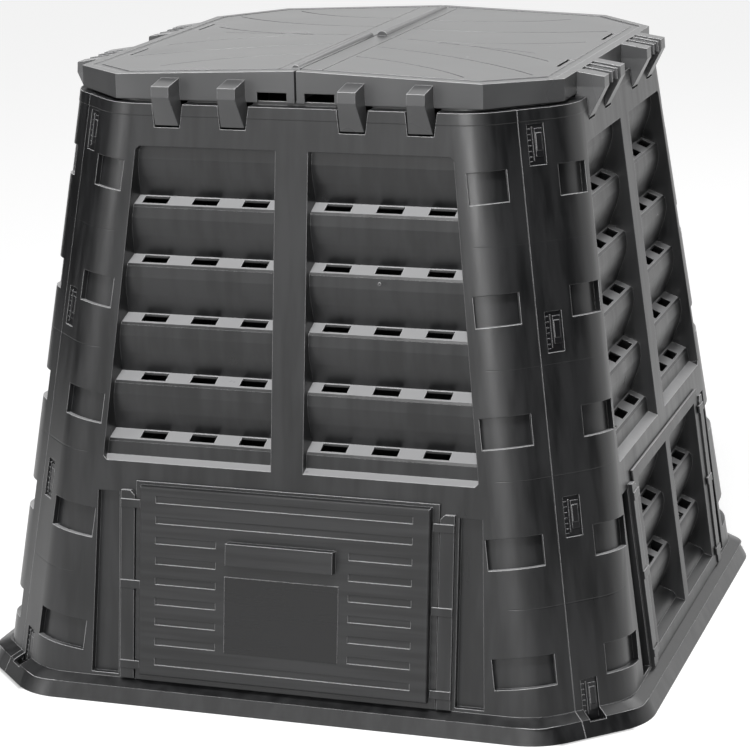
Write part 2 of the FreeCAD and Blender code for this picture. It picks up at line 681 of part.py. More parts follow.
def under_lid_top(lowered, low):
    """Everything between a level and the sloping lid top, lowered by a depth."""
    near, far = -OVERSHOOT, LID_HALF + 3 * OVERSHOOT
    side = far
    corners = [(near, -side, low), (far, -side, low), (far, -side, lid_top(far) - lowered),
               (near, -side, lid_top(near) - lowered)]
    return prism(corners, (0, 2 * side, 0))


def lid_block(inset, seam, low, high):
    return prism([(x, y, low) for x, y in lid_plan(inset, seam)], (0, 0, high - low))


def groove_along(points, low, high):
    """An upright cutter that follows an arc through three points of the lid.

    The points are given in hundredths of the half width of the lid.
    """
    start, middle, end = [Vector(x, y, 0) * (LID_HALF / 100) for x, y in points]
    half = size("LidGrooveWide") / 2
    circle = Part.Arc(start, middle, end).toShape().Curve
    tall = high - low
    centre = Vector(circle.Center.x, circle.Center.y, low)
    ring = Part.makeCylinder(circle.Radius + half, tall, centre)
    ring = ring.cut(Part.makeCylinder(circle.Radius - half, tall, centre))
    ahead = (end - start).normalize()
    across = Vector(-ahead.y, ahead.x, 0)
    side = across * (abs((middle - start).dot(across)) + 2 * half)
    lift = Vector(0, 0, low)
    corners = [start + side + lift, end + side + lift, end - side + lift, start - side + lift]
    return ring.common(prism(corners, (0, 0, tall)))


# Flow grooves of the lid top, each through three points in hundredths of the lid's half width.
LID_GROOVES = [
    ((10, -56), (38, -67), (64, -88)),
    ((10, -29), (50, -44), (87, -72)),
    ((12, -4), (50, -14), (84, -37)),
    ((30, -10), (52, -12.5), (74, -19)),
    ((28, -6.5), (58, 1), (86, 19)),
    ((10, 24), (52, 33), (87, 52)),
    ((10, 52), (38, 60), (64, 80)),
]


def lid_cuts():
    """Grooves, border channel, hinge slots and finger notches of the right-hand lid."""
    low, high = LID_LOW, RIM + 2 * size("LidRise")
    above = under_lid_top(-OVERSHOOT, low)
    groove_skin = above.cut(under_lid_top(size("LidGrooveDeep"), low - 1))
    border_skin = above.cut(under_lid_top(size("LidBorderDeep"), low - 1))
    cuts = [groove_along(points, low, high).common(groove_skin) for points in LID_GROOVES]
    border = size("LidBorder")
    outer = lid_block(border, -OVERSHOOT, low, high)
    inner = lid_block(border + size("LidBorderWide"), -OVERSHOOT - 1, low - 1, high + 1)
    cuts.append(outer.cut(inner).common(border_skin))
    strip_end = LID_HALF - border - size("LidBorderWide")
    strip_side = size("StripWidth") + size("StripGroove")
    strip = box(size("StripWidth"), -strip_end, low, strip_side, strip_end, high)
    cuts.append(strip.common(groove_skin))
    slot = LID_HALF - size("SlotInset")
    middle = (size("HookInner") + size("HookOuter")) / 2
    half = middle - size("HookInner") - size("HookHalf")
    thick = size("LidThick")
    for side in (1, -1):
        cuts.append(box(slot - size("SlotWide"), side * middle - half, low,
                        slot, side * middle + half, high))
        near, far = sorted((side * (LID_HALF - 2 * thick), side * (LID_HALF + thick)))
        cuts.append(box(size("FingerStart"), near, low - 1, size("FingerStart") + size("FingerWidth"),
                        far, low + size("FingerTall")))
    return cuts


def hook_solid():
    """A hollow hook on the +X side of a lid, centred on Y = 0."""
    wall = size("HookWall")
    root = LID_HALF - size("LidThick") / 2
    out = LID_HALF + size("HookReach")
    top = lid_top(LID_HALF)
    nose = top - size("HookFall")
    chin = nose - size("HookNose")
    tip_out = wall_plane(HOOK_TIP) + size("HookLift")
    profile = [(root, top), (out - 1, nose), (out, chin), (tip_out, HOOK_TIP),
               (tip_out - wall, HOOK_TIP), (root, HOOK_TIP + size("HookRoot"))]
    hollow = [(root - wall, top - wall), (out - wall - 1, nose - wall), (out - wall, chin),
              (tip_out - 1.2 * wall, HOOK_TIP - 1), (tip_out - 5 * wall, HOOK_TIP - 3 * wall),
              (root - wall, HOOK_TIP - 3 * wall)]
    wide, tip_wide = size("HookHalf"), size("HookTipHalf")
    low = HOOK_TIP - 3 * wall

    def front(inset):
        right = [(tip_wide - inset, low), (tip_wide - inset, HOOK_TIP),
                 (wide - inset, chin), (wide - inset, top + wall)]
        return right + [(-y, z) for y, z in reversed(right)]

    def seen_from_both(side_points, front_points):
        across = prism([(x, -2 * tip_wide, z) for x, z in side_points], (0, 4 * tip_wide, 0))
        start, reach = LID_HALF - size("HookReach"), 3 * size("HookReach")
        return across.common(prism([(start, y, z) for y, z in front_points], (reach, 0, 0)))

    return seen_from_both(profile, front(0)).cut(seen_from_both(hollow, front(wall)))


def knuckle():
    """Leaf and ribs that join the two hooks of one hinge, on the +X side of a lid."""
    root = LID_HALF - size("LidThick") / 2
    out = LID_HALF + size("HookReach")
    top = lid_top(LID_HALF)
    nose = top - size("HookFall")
    chin = nose - size("HookNose")
    start = size("HookInner") + size("HookHalf") - 1
    end = size("HookOuter") - size("HookHalf") + 1
    wall = size("HookWall")
    edge = out - size("LeafInset")
    leaf_foot = nose - size("LeafTall")
    leaf = [(root, top - wall), (edge, nose - wall), (edge, leaf_foot),
            (edge - wall, leaf_foot), (edge - wall, nose - 2 * wall), (root, top - 2 * wall)]
    pieces = [prism([(x, start, z) for x, z in leaf], (0, end - start, 0))]
    rib = [(root, top), (out - 1, nose), (out, chin), (LID_HALF + size("HookFall"), chin - wall),
           (root, chin - wall)]
    for side in (-0.5, 0.5):
        centre = (start + end) / 2 + side * size("RibStep")
        pieces.append(prism([(x, centre - wall / 2, z) for x, z in rib], (0, wall, 0)))
    return pieces


def pin_slot(place):
    """Slot through a hook, bevelled at its top, by which the hook snaps over its hinge pin."""
    radius = size("PinRadius") + size("PinRun")
    bevel = radius * (1 - math.tan(math.pi / 8))
    half = size("HookTipHalf")
    low, high = AXIS_HEIGHT - 2 * size("HookDrop"), AXIS_HEIGHT + radius
    right = [(radius, low), (radius, high - bevel), (radius - bevel, high)]
    points = right + [(-x, z) for x, z in reversed(right)]
    return prism([(AXIS_OUT + x, place - half, z) for x, z in points], (0, 2 * half, 0))


def lid_hooks():
    """Hooks of the right-hand lid: four on its hinge side, two at the front, two at the back."""
    one_hook = hook_solid()
    hooks = []
    for place in HOOK_PLACES:
        hook = one_hook.copy()
        hook.translate(Vector(0, place, 0))
        hooks.append(hook.cut(pin_slot(place)))
    for angle in (-90, 90):
        for place in (size("HookInner"), size("HookOuter")):
            hook = one_hook.copy()
            hook.translate(Vector(0, place if angle < 0 else -place, 0))
            hooks.append(turned(hook, angle))
    return hooks


def ridge_handle(seam):
    """Half-round bar on the rear half of the seam, which tapers towards the lid edge."""
    facets = 8
    big, small = size("HandleRadius"), size("HandleEndRadius")
    middle = lid_top(0) - size("HandleSunk")
    sections = []
    for radius, place in ((big, seam), (small, LID_HALF - size("HandleInset"))):
        turns = [math.pi * k / facets for k in range(facets + 1)]
        points = [Vector(seam + big - radius * math.cos(turn), place, middle + radius * math.sin(turn))
                  for turn in turns]
        sections.append(Part.makePolygon(points + points[:1]))
    return Part.makeLoft(sections, True, True)


def make_lid():
    """The right-hand half lid, closed. Its hinge is on the +X side."""
    thick = size("LidThick")
    seam = size("LidGap") / 2
    high = RIM + 2 * size("LidRise")
    outer = lid_block(0, seam, LID_LOW, high).common(under_lid_top(0, LID_LOW - 1))
    inner = lid_block(thick, seam + thick, LID_LOW - 1, high).common(under_lid_top(thick, LID_LOW - 2))
    inside = LID_HALF - thick
    over_rim = RIM + size("UpstandHeight") + 1
    clearance = box(0, -inside, LID_LOW - 1, seam + 2 * thick, inside, over_rim)
    lid = outer.cut(inner).cut(lid_cuts() + [clearance])

    added = [ridge_handle(seam)] + lid_hooks()
    for piece in knuckle():
        added.append(piece)
        added.append(piece.mirror(Vector(0, 0, 0), Vector(0, 1, 0)))
    return lid.fuse(added).removeSplitter()


class Dim:
    """A size in a sketch: its value now, and the expression that binds it to the sheet."""

    def __init__(self, value, text):
        self.value = value
        self.text = text

    def joined(self, other, sign, value):
        text = other.text if isinstance(other, Dim) else repr(other)
        return Dim(value, "(%s %s %s)" % (self.text, sign, text))

    def __add__(self, other):
        return self.joined(other, "+", self.value + number(other))

    def __sub__(self, other):
        return self.joined(other, "-", self.value - number(other))

    def __mul__(self, other):
        return self.joined(other, "*", self.value * number(other))

    def __neg__(self):
        return Dim(-self.value, "(-1 * %s)" % self.text)


def number(value):
    return value.value if isinstance(value, Dim) else value


def dim(alias):
    return Dim(size(alias), "Sizes." + alias)


def new_body(label):
    body = doc.addObject("PartDesign::Body", label)
    body.Label = label
    return body


def sketch_on(body, name, role, out=None):
    """An empty sketch on one of the body's own origin planes, lifted by a size."""
    sketch = body.newObject("Sketcher::SketchObject", name)
    plane = next(plane for plane in body.Origin.OriginFeatures if plane.Role == role)
    sketch.AttachmentSupport = [(plane, "")]
    sketch.MapMode = "FlatFace"
    if out is not None:
        sketch.setExpression(".AttachmentOffset.Base.z", out.text)
    return sketch


def add_polygon(sketch, points):
    """A closed outline whose corners are all bound to the sheet."""
    first = sketch.GeometryCount
    count = len(points)
    for i, (x, y) in enumerate(points):
        next_x, next_y = points[(i + 1) % count]
        sketch.addGeometry(Part.LineSegment(Vector(x.value, y.value, 0),
                                            Vector(next_x.value, next_y.value, 0)), False)
    for i in range(count):
        sketch.addConstraint(Sketcher.Constraint("Coincident", first + i, 2, first + (i + 1) % count, 1))
    for i, (x, y) in enumerate(points):
        for kind, place in (("DistanceX", x), ("DistanceY", y)):
            at = sketch.addConstraint(Sketcher.Constraint(kind, -1, 1, first + i, 1, place.value))
            sketch.setExpression("Constraints[%d]" % at, place.text)


def add_rectangle(sketch, left, low, right, high):
    add_polygon(sketch, [(left, low), (right, low), (right, high), (left, high)])


def pad(body, sketch, name, length, both_ways=False):
    feature = body.newObject("PartDesign::Pad", name)
    feature.Profile = sketch
    feature.setExpression("Length", length.text)
    feature.Midplane = both_ways
    return feature


def pocket(body, sketch, name, depth, both_ways=False, turned_round=False):
    feature = body.newObject("PartDesign::Pocket", name)
    feature.Profile = sketch
    feature.setExpression("Length", depth.text)
    feature.Midplane = both_ways
    feature.Reversed = turned_round
    return feature


def make_hatch_door(body):
    """Tray-shaped door with a sliding flange, grooves, a pull ledge and a blank plate."""
    half = dim("OpeningHalf") + dim("DoorLap")
    foot = dim("SkirtHeight") + dim("OpeningRise") - dim("DoorLapFoot")
    opening_head = dim("SkirtHeight") + dim("OpeningRise") + dim("OpeningTall")
    head = opening_head + dim("DoorLapHead")
    lift = dim("DoorLift")
    face_out = lift + dim("DoorFlange") + dim("DoorRaise")

    flange = sketch_on(body, "FlangeSketch", "XZ_Plane", lift)
    add_rectangle(flange, -half, foot, half, head)
    pad(body, flange, "Flange", dim("DoorFlange"))
    tray_half = half - dim("DoorEdge")
    tray_foot = foot + dim("DoorEdge")
    tray_head = head - dim("DoorEdge") * 0.5
    tray = sketch_on(body, "TraySketch", "XZ_Plane", lift)
    add_rectangle(tray, -tray_half, tray_foot, tray_half, tray_head)
    tray_pad = pad(body, tray, "Tray", dim("DoorFlange") + dim("DoorRaise"))
    doc.recompute()

    front = [edge for edge in range(1, len(tray_pad.Shape.Edges) + 1)
             if edge_on_face(tray_pad.Shape.Edges[edge - 1], -face_out.value)]
    rounding = body.newObject("PartDesign::Fillet", "TrayRound")
    rounding.Base = (tray_pad, ["Edge%d" % edge for edge in front])
    rounding.setExpression("Radius", "Sizes.DoorRound")

    hollow = sketch_on(body, "HollowSketch", "XZ_Plane", lift)
    wall = dim("DoorWall")
    add_rectangle(hollow, -(tray_half - wall), tray_foot + wall, tray_half - wall, tray_head - wall)
    pocket(body, hollow, "Hollow", dim("DoorFlange") + dim("DoorRaise") - wall, turned_round=True)

    grooves = sketch_on(body, "GrooveSketch", "XZ_Plane", face_out)
    groove_foot = dim("SkirtHeight") + dim("OpeningRise") + dim("GrooveRise")
    end = dim("OpeningHalf") - dim("GrooveSide")
    room = head.value - size("DoorEdge") - groove_foot.value - size("GrooveTall")
    rows = int(room // size("GroovePitch")) + 1
    for row in range(rows):
        low = groove_foot + dim("GroovePitch") * row
        high = low + dim("GrooveTall")
        if 0 < row < rows - 2:
            add_rectangle(grooves, -end, low, -dim("GrooveInner"), high)
            add_rectangle(grooves, dim("GrooveInner"), low, end, high)
        else:
            add_rectangle(grooves, -end, low, end, high)
    pocket(body, grooves, "Grooves", dim("GrooveDepth"))

    pull_head = opening_head - dim("PullDrop")
    pull_foot = pull_head - dim("PullTall")
    pull = sketch_on(body, "PullSketch", "XZ_Plane", face_out - wall * 0.5)
    add_rectangle(pull, -dim("PullHalf"), pull_foot, dim("PullHalf"), pull_head)
    pad(body, pull, "Pull", dim("PullOut") + wall * 0.5)
    doc.recompute()

    undercut = sketch_on(body, "UndercutSketch", "YZ_Plane")
    room_out = face_out + dim("PullOut") - dim("PullWall")
    add_polygon(undercut, [(-face_out, pull_foot - dim("PullWall")),
                           (-face_out, pull_head - dim("PullWall") * 3.0),
                           (-(face_out + dim("PullOut") * 0.5), pull_head - dim("PullWall")),
                           (-room_out, pull_head - dim("PullWall") * 1.5),
                           (-room_out, pull_foot - dim("PullWall"))])
    pocket(body, undercut, "Undercut", (dim("PullHalf") - dim("PullWall")) * 2.0, both_ways=True)

    plate_head = pull_foot - dim("PlateGap")
    plate = sketch_on(body, "PlateSketch", "XZ_Plane", face_out - wall * 0.5)
    add_rectangle(plate, -dim("PlateHalf"), plate_head - dim("PlateTall"), dim("PlateHalf"), plate_head)
    body.Tip = pad(body, plate, "Plate", dim("PlateOut") + wall * 0.5)


def edge_on_face(edge, depth):
    """Whether an edge lies wholly at one depth."""
    return all(abs(vertex.Point.y - depth) < 1e-6 for vertex in edge.Vertexes)


def make_pin(body):
    """Plain steel hinge pin along -Y."""
    profile = sketch_on(body, "PinSketch", "XZ_Plane")
    profile.addGeometry(Part.Circle(Vector(0, 0, 0), Vector(0, 0, 1), size("PinRadius")), False)
    profile.addConstraint(Sketcher.Constraint("Coincident", 0, 3, -1, 1))
    at = profile.addConstraint(Sketcher.Constraint("Radius", 0, size("PinRadius")))
    profile.setExpression("Constraints[%d]" % at, "Sizes.PinRadius")
    outer_reach = dim("HookTipHalf") + dim("NotchGap") + dim("NotchOpen") + dim("PinEnd")
    body.Tip = pad(body, profile, "Rod", dim("HookOuter") - dim("HookInner") + outer_reach * 2.0)


def make_clip(body):
    """Clip that grips the two seam ribs and fills its window with a sunk face."""
    gap, plate = dim("ClipGap"), dim("ClipPlate")
    wall = dim("WallThick")
    near = wall + gap
    half = dim("ClipWidth") * 0.5
    left, right = dim("ClipShift") - half, dim("ClipShift") + half
    rib_right = -dim("SeamShift") + dim("SeamGap") * 0.5 + wall + gap
    rib_left = -dim("SeamShift") - dim("SeamGap") * 0.5 - wall - gap
    over = right + dim("ClipOver")
    behind = dim("SeamRibDepth") + gap
    jaw = sketch_on(body, "JawSketch", "XY_Plane")
    add_polygon(jaw, [
        (rib_right, near), (over, near), (over, near + plate), (rib_right + plate, near + plate),
        (rib_right + plate, behind + plate), (rib_left - plate, behind + plate),
        (rib_left - plate, near), (rib_left, near), (rib_left, behind), (rib_right, behind)])
    pad(body, jaw, "Jaw", dim("ClipTall") + dim("ClipOver") * 2.0, both_ways=True)
    stud = sketch_on(body, "StudSketch", "XY_Plane")
    add_rectangle(stud, left + gap, dim("ClipSunk"), right - gap, near + plate * 0.5)
    body.Tip = pad(body, stud, "Stud", dim("ClipTall") - gap * 2.0, both_ways=True)


def add_feature(label, shape, placement):
    feature = doc.addObject("Part::Feature", label)
    feature.Label = label
    feature.Shape = shape
    feature.Placement = placement
    return feature


def quarter_turn(count):
    return Placement(Vector(0, 0, 0), Rotation(Vector(0, 0, 1), 90 * count))


parts = []
plain_wall = make_wall()
hinge_wall = plain_wall.cut(pin_bores())
for count, side_name in enumerate(("front", "right", "back", "left")):
    shape = hinge_wall if side_name in ("right", "left") else plain_wall
    parts.append(add_feature(side_name + "_wall", shape, quarter_turn(count)))

panel_shape = make_vent_panel()
for count, side_name in enumerate(("right", "back", "left"), start=1):
    place = quarter_turn(count).multiply(FLAT_TO_WALL)
    parts.append(add_feature(side_name + "_vent_panel", panel_shape, place))

lid_shape = make_lid()
parts.append(add_feature("right_lid", lid_shape, quarter_turn(0)))
parts.append(add_feature("left_lid", lid_shape, quarter_turn(2)))

hatch = new_body("hatch_door")
make_hatch_door(hatch)
hatch.Placement = FLAT_TO_WALL
parts.append(hatch)

for side, side_name in ((1, "right"), (-1, "left")):
    for start, end_name in ((-PIN_START, "front"), (PIN_END, "rear")):
        pin = new_body("%s_lid_%s_pin" % (side_name, end_name))
        make_pin(pin)
        pin.Placement = Placement(Vector(side * AXIS_OUT, start, AXIS_HEIGHT), Rotation())
        parts.append(pin)

# The corner at the left end of each wall, counted from the front wall.
for count, corner_name in enumerate(("front_left", "front_right", "back_right", "back_left")):
    for index, height in enumerate(clip_heights(), start=1):
        clip = new_body("%s_clip_%d" % (corner_name, index))
        make_clip(clip)
        clip.Placement = quarter_turn(count).multiply(corner_place(height))
        parts.append(clip)

doc.recompute()

for item in doc.Objects:
    if "Invalid" in item.State or "Error" in item.State:
        raise ValueError("%s failed: %s" % (item.Label, item.State))
for item in parts:
    shape = item.Shape
    if shape.isNull() or not shape.isValid() or len(shape.Solids) != 1:
        raise ValueError("%s is not one valid solid" % item.Label)

for item in parts:
    item.Shape.exportStep(os.path.join("parts", item.Label + ".step"))
    print("%-24s %6.0f cm3 %5d faces" % (item.Label, item.Shape.Volume / 1000, len(item.Shape.Faces)))
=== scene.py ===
# %% [markdown]
# # A compost bin with two hinged half lids
#
# The real object is a garden composter moulded in black polypropylene. Four walls from one mould
# lean inwards and clip together at the corners, a hatch slides up at the foot of the front wall,
# and two half lids hinge at the left and right. This lesson loads the finished solids, gives
# every piece the look of moulded plastic, adds the small marks that a mould leaves, and lights it
# all like a product photograph.

# %% Load the solids
import bmesh
import bpy
import json
import math
from mathutils import Matrix, Vector


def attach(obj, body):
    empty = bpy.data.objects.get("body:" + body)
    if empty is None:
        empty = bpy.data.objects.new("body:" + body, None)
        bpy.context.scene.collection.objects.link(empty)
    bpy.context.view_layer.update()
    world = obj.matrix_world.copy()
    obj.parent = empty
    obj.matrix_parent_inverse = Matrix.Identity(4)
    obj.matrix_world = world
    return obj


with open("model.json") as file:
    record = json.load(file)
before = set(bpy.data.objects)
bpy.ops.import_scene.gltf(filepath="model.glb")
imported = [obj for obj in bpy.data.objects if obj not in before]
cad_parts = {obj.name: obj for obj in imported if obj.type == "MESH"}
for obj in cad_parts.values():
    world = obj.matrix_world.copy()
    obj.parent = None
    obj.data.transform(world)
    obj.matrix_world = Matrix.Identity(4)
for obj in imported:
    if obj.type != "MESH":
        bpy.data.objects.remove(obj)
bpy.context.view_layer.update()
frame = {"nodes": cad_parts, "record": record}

# %% [markdown]
# ## Camera
#
# A product photograph is taken from a few metres away with a long lens, so that upright edges
# stay nearly parallel. The camera stands to the right of the front and looks slightly down. The
# turn, the tilt and the roll are three rotations, so they are written as a direction and two
# axes, and the matrix is built from those.

# %% Camera
CAMERA_SPOT = Vector((1.1501, -3.5072, 1.3318))
CAMERA_TURN = math.radians(18.317)
CAMERA_TILT = math.radians(15.021)
CAMERA_ROLL = math.radians(-1.234)
FRAME_PIXELS = 750
FOCAL_PIXELS = 2692.8
SENSOR_WIDTH = 36.0


def make_camera():
    """The camera of the photograph, as a matrix of its right, up and backward axes."""
    ahead = Vector((-math.sin(CAMERA_TURN) * math.cos(CAMERA_TILT),
                    math.cos(CAMERA_TURN) * math.cos(CAMERA_TILT),
                    -math.sin(CAMERA_TILT)))
    level = ahead.cross(Vector((0, 0, 1))).normalized()
    above = level.cross(ahead)
    right = math.cos(CAMERA_ROLL) * level + math.sin(CAMERA_ROLL) * above
    up = right.cross(ahead)
    data = bpy.data.cameras.new("camera")
    data.sensor_width = SENSOR_WIDTH
    data.lens = SENSOR_WIDTH * FOCAL_PIXELS / FRAME_PIXELS
    data.clip_end = 50
    camera = bpy.data.objects.new("camera", data)
    bpy.context.scene.collection.objects.link(camera)
    axes = Matrix((right, up, -ahead)).transposed().to_4x4()
    camera.matrix_world = Matrix.Translation(CAMERA_SPOT) @ axes
    bpy.context.scene.camera = camera
    return camera


camera = make_camera()
print("camera lens", round(camera.data.lens, 1), "mm")

# %% [markdown]
# ## Shader maths as plain expressions
#
# A procedural finish is a small calculation that is made at every point of a surface. Linking
# Math nodes by hand is slow to read, so one class wraps a socket and turns `+`, `-`, `*` and a
# few other operations into nodes. Everything else goes through one method that adds a node.

# %% Socket class
class Value:
    """A number or colour that changes over the surface. Arithmetic on it adds Math nodes."""

    def __init__(self, nodes, socket):
        self.nodes = nodes
        self.socket = socket

    def math(self, operation, *others):
        """A Math node on this value and the others."""
        return self.nodes.node("ShaderNodeMath", {"operation": operation},
                               dict(enumerate((self,) + others)))

    def __add__(self, other):
        return self.math("ADD", other)

    def __mul__(self, other):
        return self.math("MULTIPLY", other)

    def __sub__(self, other):
        return self.math("SUBTRACT", other)

    def __rsub__(self, other):
        return self.nodes.node("ShaderNodeMath", {"operation": "SUBTRACT"}, {0: other, 1: self})

    def __abs__(self):
        return self.math("ABSOLUTE")

    __radd__ = __add__
    __rmul__ = __mul__

    def output(self, name):
        """Another output of the node that this value comes from."""
        return Value(self.nodes, self.socket.node.outputs[name])

    def between(self, low, high):
        """0 below low, 1 above high, and a smooth step from one to the other."""
        return self.nodes.node("ShaderNodeMapRange", {"interpolation_type": "SMOOTHSTEP"},
                               {"Value": self, "From Min": low, "From Max": high})


class Nodes:
    """A node tree that is being written, with one method that adds any node."""

    def __init__(self, owner):
        owner.use_nodes = True
        self.tree = owner.node_tree
        self.tree.nodes.clear()

    def node(self, kind, settings=None, inputs=None, out=0):
        """Adds a node: its settings first, then the values or links of its sockets."""
        made = self.tree.nodes.new(kind)
        for name, setting in (settings or {}).items():
            setattr(made, name, setting)
        for name, given in (inputs or {}).items():
            if isinstance(given, Value):
                self.tree.links.new(given.socket, made.inputs[name])
            else:
                made.inputs[name].default_value = given
        return Value(self, made.outputs[out]) if made.outputs else made


class Finish(Nodes):
    """A material that is being written."""

    def __init__(self, name):
        self.material = bpy.data.materials.new(name)
        super().__init__(self.material)
        self.place = self.node("ShaderNodeTexCoord", out="Object")

    def stretched(self, scale):
        """The place on the piece, with each direction scaled on its own."""
        return self.node("ShaderNodeVectorMath", {"operation": "MULTIPLY"},
                         {0: self.place, 1: scale})

    def noise(self, vector, scale, detail=2.0):
        """Soft clouds of a scale, with finer ones on top for more detail."""
        return self.node("ShaderNodeTexNoise", None,
                         {"Vector": vector, "Scale": scale, "Detail": detail})

    def mix(self, factor, first, second):
        """A colour between two colours."""
        return self.node("ShaderNodeMix", {"data_type": "RGBA"},
                         {0: factor, 6: first, 7: second}, out=2)

    def axes(self):
        """The three coordinates of the place on the piece, in metres."""
        split = self.node("ShaderNodeSeparateXYZ", None, {0: self.place})
        return [split.output(name) for name in "XYZ"]

    def bump(self, height, distance, normal=None):
        """The normal of a relief, on top of another normal where one is given."""
        inputs = {"Height": height, "Distance": distance}
        if normal:
            inputs["Normal"] = normal
        return self.node("ShaderNodeBump", None, inputs)

    def rounded(self, radius):
        """The normal of the surface as if its sharp edges were rounded."""
        return self.node("ShaderNodeBevel", {"samples": 6}, {"Radius": radius})

    def surface(self, shader):
        """Ends the material with its shader."""
        self.node("ShaderNodeOutputMaterial", None, {"Surface": shader})
        return self.material


# %% [markdown]
# ## Painted highlights on edges and painted light on ledges
#
# A moulding has no knife edges. The solids have crisp ones, so a Bevel node bends the normal
# beside each edge as if it were rounded. An outer edge is also painted as a thin pale line, a
# painted highlight where the edge turns towards the light above. The mask for it has three
# factors. The rounded normal turns away from the face's own normal only beside an edge. Its Z says
# how much that place looks up. Ambient Occlusion says how open the place is, which leaves out
# inner corners. The ledges of the louvres look up too and are painted pale, as painted light from
# above, so a second mask finds faces that look up, between the skirt and the rim.

# %% Masks for edges and ledges
EDGE_REACH = 0.004
EDGE_TURN = (0.84, 0.99)
EDGE_RISE = (-0.1, 0.35)
EDGE_OPEN = (0.6, 0.9)
LEDGE_RISE = (0.7, 0.85)
LEDGES_FOOT = (0.06, 0.07)
LEDGES_HEAD = (0.70, 0.71)


def painted_edge_highlights(finish, rounded):
    """Where the painted highlight goes: 1 on the outer edges that look up or ahead, 0 elsewhere."""
    face = finish.node("ShaderNodeNewGeometry", out="Normal")
    turn = finish.node("ShaderNodeVectorMath", {"operation": "DOT_PRODUCT"},
                       {0: rounded, 1: face}, out="Value")
    rise = finish.node("ShaderNodeSeparateXYZ", None, {0: rounded}).output("Z")
    openness = finish.node("ShaderNodeAmbientOcclusion", {"samples": 4},
                           {"Distance": EDGE_REACH}, out="AO")
    return (1 - turn.between(*EDGE_TURN)) * rise.between(*EDGE_RISE) * openness.between(*EDGE_OPEN)


def painted_lit_ledges(finish):
    """Where the painted light goes: 1 on the ledges of the louvres and pockets that look up, 0
    elsewhere.
    """
    face = finish.node("ShaderNodeNewGeometry", out="Normal")
    rise = finish.node("ShaderNodeSeparateXYZ", None, {0: face}).output("Z")
    z = finish.axes()[2]
    return rise.between(*LEDGE_RISE) * z.between(*LEDGES_FOOT) * (1 - z.between(*LEDGES_HEAD))


# %% [markdown]
# ## Black moulded plastic
#
# Polypropylene that comes out of a polished steel mould is nearly black and half glossy. It is
# never even: the melt leaves flow streaks that run with the filling, the skin has a fine grain,
# and thick places sink a little, so reflections wander. All three are noises of different
# stretch: streaks change quickly across and slowly along, grain is fine everywhere, and the sink
# marks are broad. One function makes every plastic here, because they are the same material, and
# the arguments say how each moulding differs.

# %% Plastic finish
BLACK = (0.008, 0.0082, 0.0087, 1)
GREY_BLACK = (0.018, 0.0183, 0.0192, 1)
POLISHED_BLACK = (0.005, 0.005, 0.0055, 1)
# Painted light: the pale colour of the ledges that look up.
LEDGE_PAINTED_LIGHT = (0.3, 0.3, 0.305, 1)
# Painted highlight: the pale colour of the outer edges that look up.
EDGE_PAINTED_HIGHLIGHT = (0.7, 0.7, 0.71, 1)
PLASTIC_IOR = 1.49
EDGE_ROUND = 0.0014
GRAIN_SCALE = 2200.0
GRAIN_DEPTH = 0.000008
SINK_SCALE = 7.0
SINK_DEPTH = 0.0006
SINK_SHARE = 0.35
SINK_ROUGHNESS = 0.1
STREAK_DEPTH = 0.00008
TONE_RANGE = (0.36, 0.64)
POLISH = 0.1


def plastic(name, dark, pale, rough, streak_scale, streak_strength, marks=None, smooth=None,
            lit_ledges=False):
    """Half-glossy black plastic with flow streaks, grain, sink marks and a painted highlight on the
    edges.

    marks adds to the relief, smooth is a mask of places that are darker and more polished, and
    the last argument paints the upward ledges pale, as painted light.
    """
    finish = Finish(name)
    streaks = finish.noise(finish.stretched(streak_scale), 1.0, 3.0)
    sinks = finish.noise(finish.place, SINK_SCALE)
    grain = finish.noise(finish.place, GRAIN_SCALE, 1.0)
    tone = (streaks * (1 - SINK_SHARE) + sinks * SINK_SHARE).between(*TONE_RANGE)
    colour = finish.mix(tone, dark, pale)
    roughness = rough + (streaks - 0.5) * streak_strength + (sinks - 0.5) * SINK_ROUGHNESS
    if smooth:
        polished = smooth(finish)
        colour = finish.mix(polished, colour, POLISHED_BLACK)
        roughness = roughness - polished * POLISH
    relief = sinks * SINK_DEPTH + streaks * (STREAK_DEPTH * streak_strength) + grain * GRAIN_DEPTH
    if marks:
        relief = relief + marks(finish)
    rounded = finish.rounded(EDGE_ROUND)
    # Painted light: ledges that look up are painted pale, as if lit from above.
    if lit_ledges:
        colour = finish.mix(painted_lit_ledges(finish), colour, LEDGE_PAINTED_LIGHT)
    # Painted highlight: outer edges that look up towards the light are painted pale.
    colour = finish.mix(painted_edge_highlights(finish, rounded), colour, EDGE_PAINTED_HIGHLIGHT)
    shader = finish.node("ShaderNodeBsdfPrincipled", None,
                         {"Base Color": colour, "Roughness": roughness, "IOR": PLASTIC_IOR,
                          "Normal": finish.bump(relief, 1.0, rounded)})
    return finish.surface(shader)


# %% [markdown]
# ## Lines that the mould leaves on the walls
#
# Round every corner the walls carry faint horizontal lines, where inserts of the mould meet. They
# are far too shallow to be worth geometry, so they are written into the bump: a narrow dip at
# each height, kept to the corners by a mask on the distance from the corner's middle.

# %% Mould lines
MOULD_LINE_HEIGHTS = (0.164, 0.325, 0.463, 0.615)
MOULD_LINE_WIDTH = 0.0012
MOULD_LINE_DEPTH = 0.00012
CORNER_REACH = 0.088
CORNER_FADE = 0.004


def mould_lines(finish):
    """Shallow dips at the heights where mould inserts meet, round the corners only."""
    x, y, z = finish.axes()
    off_corner = abs(abs(x) - abs(y)) * math.sqrt(0.5)
    corner = 1 - off_corner.between(CORNER_REACH - CORNER_FADE, CORNER_REACH)
    lines = sum(1 - abs(z - height).between(0.0, MOULD_LINE_WIDTH) for height in MOULD_LINE_HEIGHTS)
    return lines * corner * -MOULD_LINE_DEPTH


